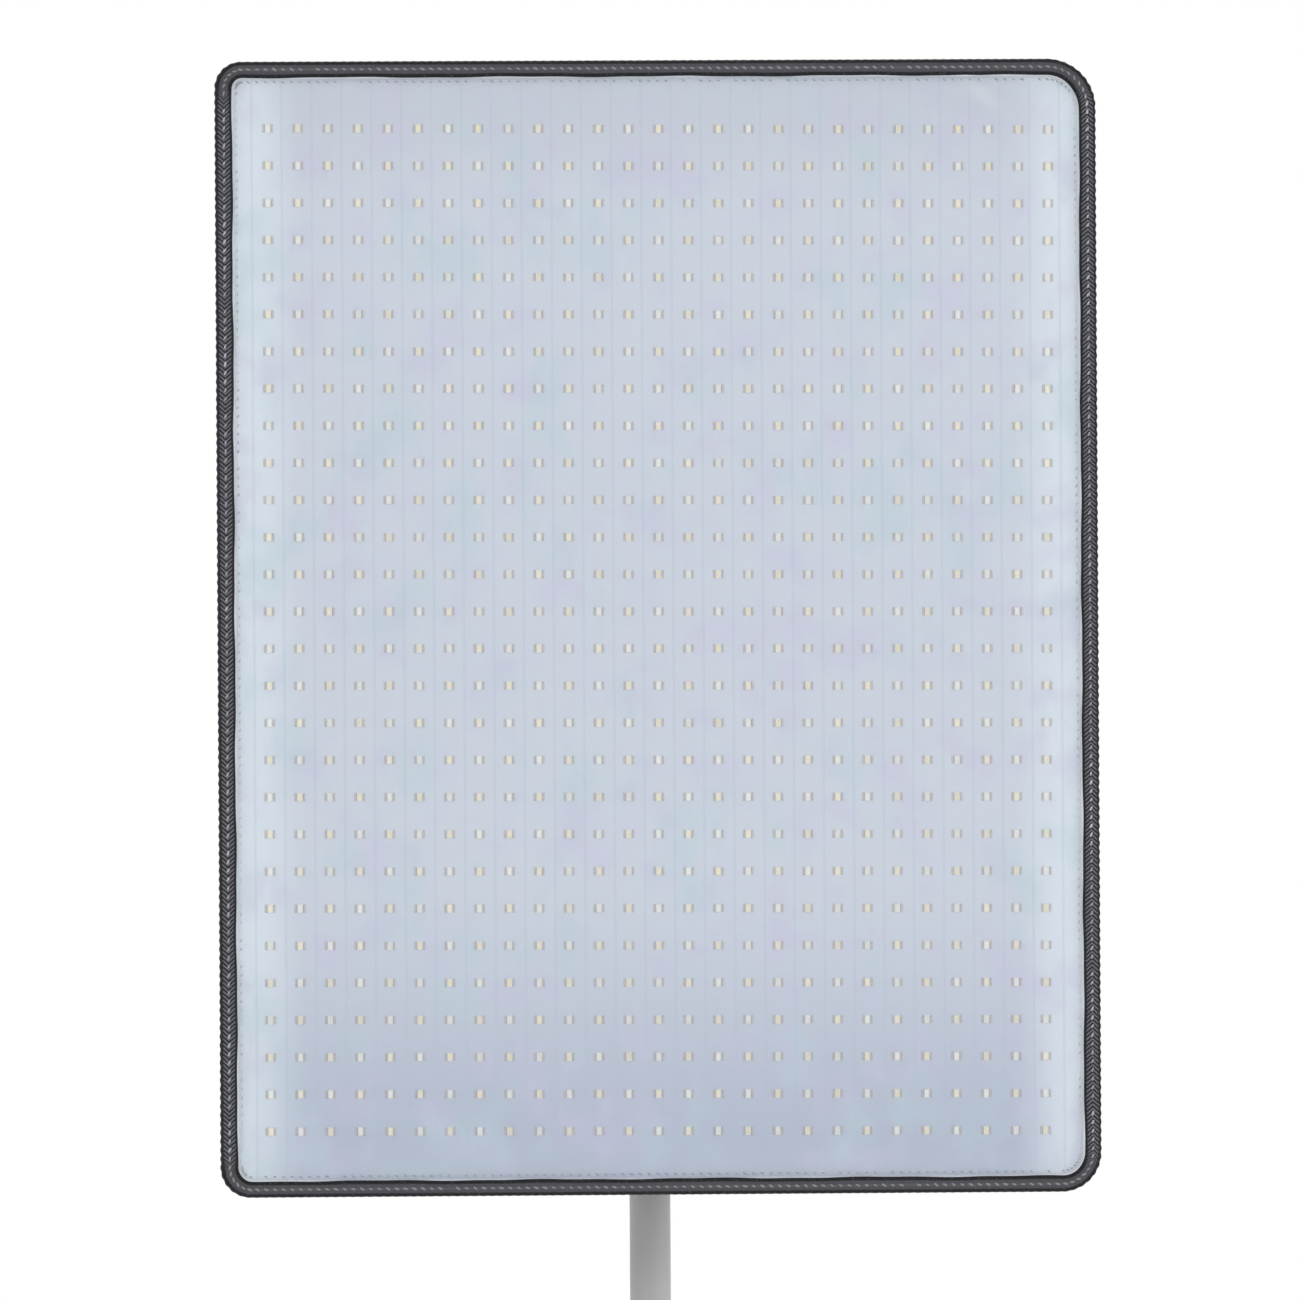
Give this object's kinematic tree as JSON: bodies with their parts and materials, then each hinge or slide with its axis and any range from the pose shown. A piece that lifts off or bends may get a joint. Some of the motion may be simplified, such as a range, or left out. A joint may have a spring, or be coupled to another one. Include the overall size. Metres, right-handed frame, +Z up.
{
  "type": "flexible LED light panel on stand",
  "caption": "Thin flexible LED light mat on a four-arm sprung holder with tilt head, on a telescopic light stand with three folding legs.",
  "frame": {"origin": "on the floor at the middle of the footprint", "axes": "+Z up, lit face of the mat towards -Y, +X to the right seen from in front"},
  "size_m": [0.7408, 0.645, 1.2625],
  "materials": {
    "anodised_tube": "satin grey powder coat",
    "strut_metal": "satin grey powder coat",
    "moulded_plastic": "fine moulded texture",
    "knob_plastic": "fine moulded texture",
    "foot_rubber": "matte rubber",
    "plated_steel": "bright zinc plate",
    "cast_head": "fine wrinkle paint",
    "hub_paint": "satin black",
    "rod_coating": "satin black",
    "pocket_fabric": "coarse nylon weave",
    "back_fabric": "fine nylon weave",
    "binding_tape": "ribbed woven tape with a row of light stitches",
    "film": "glossy frosted film",
    "warm_led": "amber phosphor",
    "daylight_led": "pale yellow phosphor",
    "led_sheet": "white solder mask",
    "foam": "closed-cell foam",
    "insert_plastic": "satin moulding",
    "contact_metal": "gold flash"
  },
  "bodies": {
    "stand": {"base_tube": "anodised_tube", "base_plug": "moulded_plastic", "base_collar": "moulded_plastic", "base_rivets": "plated_steel", "lower_clamp": "moulded_plastic"},
    "middle_section": {"mid_tube": "anodised_tube", "mid_bush": "moulded_plastic", "upper_clamp": "moulded_plastic"},
    "top_section": {"top_tube": "anodised_tube", "top_bush": "moulded_plastic", "spigot": "plated_steel"},
    "receiver": {"receiver": "cast_head", "tilt_bolt": "plated_steel", "tilt_washers": "plated_steel", "tilt_nut": "plated_steel"},
    "mat": {"tilt_tongue": "cast_head", "tongue_screws": "plated_steel", "hub_back": "hub_paint", "hub_front": "hub_paint", "hub_screws": "plated_steel", "rod_1": "rod_coating", "rod_2": "rod_coating", "rod_3": "rod_coating", "rod_4": "rod_coating", "rod_tips": "moulded_plastic", "corner_pockets": "pocket_fabric", "diffuser_film": "film", "warm_leds": "warm_led", "daylight_leds": "daylight_led", "led_sheet": "led_sheet", "foam_backing": "foam", "back_cover": "back_fabric", "edge_binding": "binding_tape", "inlet_box": "moulded_plastic", "inlet_shell": "plated_steel", "inlet_insert": "insert_plastic", "inlet_contacts": "contact_metal"},
    "lower_clamp_knob": {"lower_clamp_knob": "knob_plastic"},
    "upper_clamp_knob": {"upper_clamp_knob": "knob_plastic"},
    "leg_clamp_knob": {"leg_clamp_knob": "knob_plastic"},
    "receiver_knob": {"receiver_knob": "knob_plastic"},
    "tilt_lever": {"tilt_lever": "cast_head"},
    "strut_1": {"strut_1": "strut_metal"},
    "strut_2": {"strut_2": "strut_metal"},
    "strut_3": {"strut_3": "strut_metal"},
    "leg_1": {"leg_tube_1": "anodised_tube", "leg_cap_1": "moulded_plastic", "leg_clip_1": "moulded_plastic", "foot_1": "foot_rubber"},
    "leg_2": {"leg_tube_2": "anodised_tube", "leg_cap_2": "moulded_plastic", "leg_clip_2": "moulded_plastic", "foot_2": "foot_rubber"},
    "leg_3": {"leg_tube_3": "anodised_tube", "leg_cap_3": "moulded_plastic", "leg_clip_3": "moulded_plastic", "foot_3": "foot_rubber"},
    "leg_collar": {"leg_collar": "moulded_plastic", "collar_rivets": "plated_steel"}
  },
  "joints": [
    {"name": "legs_fold", "type": "hinge", "parent": "stand", "child": "strut_1", "pos_m": [0, 0.07317, 0.04293], "axis": [-1, 0, 0], "range_deg": [0, 56]},
    {"name": "leg_1_fold", "type": "hinge", "parent": "strut_1", "child": "leg_1", "pos_m": [0, -0.07524, 0.13566], "axis": [-1, 0, 0], "range_deg": [-112, 0]},
    {"name": "collar_rise", "type": "hinge", "parent": "leg_1", "child": "leg_collar", "pos_m": [0, 0.07317, 0.2284], "axis": [-1, 0, 0], "range_deg": [0, 56]},
    {"name": "strut_2_fold", "type": "hinge", "parent": "stand", "child": "strut_2", "pos_m": [0.02598, 0.11817, 0.04293], "axis": [0.5, -0.866, 0], "range_deg": [0, 56]},
    {"name": "leg_2_fold", "type": "hinge", "parent": "strut_2", "child": "leg_2", "pos_m": [0.15451, 0.19237, 0.13566], "axis": [0.5, -0.866, 0], "range_deg": [-112, 0]},
    {"name": "strut_3_fold", "type": "hinge", "parent": "stand", "child": "strut_3", "pos_m": [-0.02598, 0.11817, 0.04293], "axis": [0.5, 0.866, 0], "range_deg": [0, 56]},
    {"name": "leg_3_fold", "type": "hinge", "parent": "strut_3", "child": "leg_3", "pos_m": [-0.15451, 0.19237, 0.13566], "axis": [0.5, 0.866, 0], "range_deg": [-112, 0]},
    {"name": "middle_section_rise", "type": "slide", "parent": "stand", "child": "middle_section", "axis": [0, 0, 1], "range_m": [0, 0.37]},
    {"name": "top_section_rise", "type": "slide", "parent": "middle_section", "child": "top_section", "axis": [0, 0, 1], "range_m": [-0.31, 0.09]},
    {"name": "receiver_swivel", "type": "hinge", "parent": "top_section", "child": "receiver", "pos_m": [0, 0.10317, 0.8783], "axis": [0, 0, 1], "continuous": true},
    {"name": "mat_tilt", "type": "hinge", "parent": "receiver", "child": "mat", "pos_m": [0, 0.10317, 0.96], "axis": [1, 0, 0], "range_deg": [-90, 10]},
    {"name": "tilt_lever_turn", "type": "hinge", "parent": "receiver", "child": "tilt_lever", "pos_m": [0.023, 0.10317, 0.96], "axis": [1, 0, 0], "range_deg": [0, 100]},
    {"name": "lower_clamp_knob_turn", "type": "hinge", "parent": "stand", "child": "lower_clamp_knob", "pos_m": [0, 0.12317, 0.507], "axis": [0, 1, 0], "range_deg": [0, 720]},
    {"name": "upper_clamp_knob_turn", "type": "hinge", "parent": "middle_section", "child": "upper_clamp_knob", "pos_m": [0, 0.12317, 0.5513], "axis": [0, 1, 0], "range_deg": [0, 720]},
    {"name": "leg_clamp_knob_turn", "type": "hinge", "parent": "leg_collar", "child": "leg_clamp_knob", "pos_m": [0, 0.12817, 0.2494], "axis": [0, 1, 0], "range_deg": [0, 720]},
    {"name": "receiver_knob_turn", "type": "hinge", "parent": "receiver", "child": "receiver_knob", "pos_m": [-0.02, 0.10317, 0.8983], "axis": [-1, 0, 0], "range_deg": [0, 720]}
  ],
  "couplings": [
    {"joint": "leg_1_fold", "follows": "legs_fold", "ratio": -2},
    {"joint": "leg_2_fold", "follows": "legs_fold", "ratio": -2},
    {"joint": "leg_3_fold", "follows": "legs_fold", "ratio": -2},
    {"joint": "collar_rise", "follows": "legs_fold", "ratio": 1},
    {"joint": "strut_2_fold", "follows": "legs_fold", "ratio": 1},
    {"joint": "strut_3_fold", "follows": "legs_fold", "ratio": 1}
  ]
}
